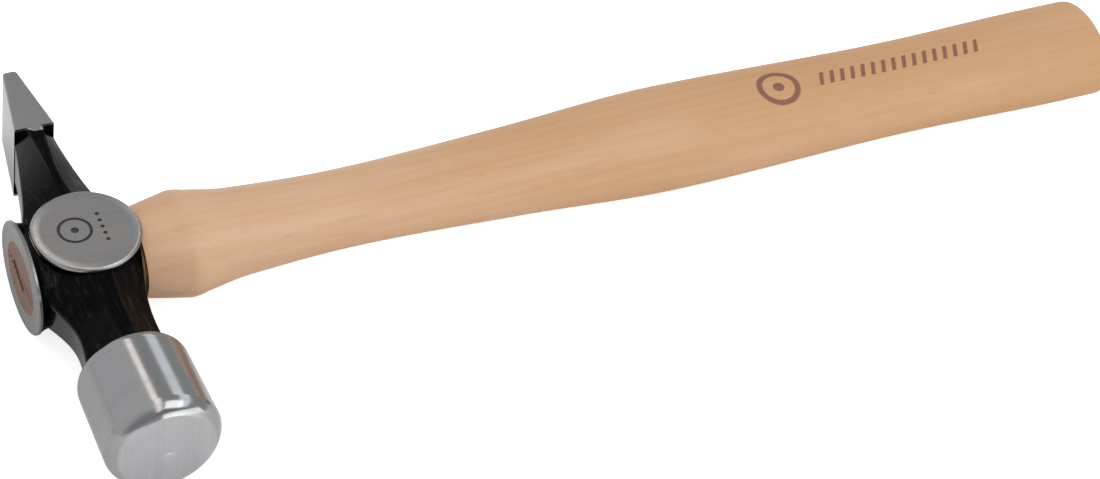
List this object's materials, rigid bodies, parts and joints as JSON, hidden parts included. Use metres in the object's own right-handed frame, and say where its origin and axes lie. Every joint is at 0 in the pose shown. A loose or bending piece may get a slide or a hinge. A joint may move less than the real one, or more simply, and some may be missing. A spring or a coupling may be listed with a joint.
{
  "type": "cross-pein hammer",
  "caption": "Cross-pein hammer: forged steel head with a round striking poll and a wedge-shaped pein, held by wedges on a curved oval hickory handle.",
  "frame": {"origin": "centre of the overall box at its lowest plane, with the hammer lying on one cheek", "axes": "+X down the handle from head to butt, +Y towards the pein, +Z out of the upper cheek"},
  "size_m": [0.3, 0.1276, 0.0302],
  "materials": {
    "forged_steel": "ground poll, pein, cheeks and crown; gloss black paint on the forged necks and boss",
    "hickory": "sanded, thin clear lacquer",
    "wedge_timber": "end grain, filed flush",
    "wedge_steel": "dull, lightly rusted"
  },
  "bodies": {
    "root": {"hammer_head": "forged_steel", "handle_shaft": "hickory", "timber_wedge": "wedge_timber", "steel_wedge": "wedge_steel"}
  },
  "joints": []
}
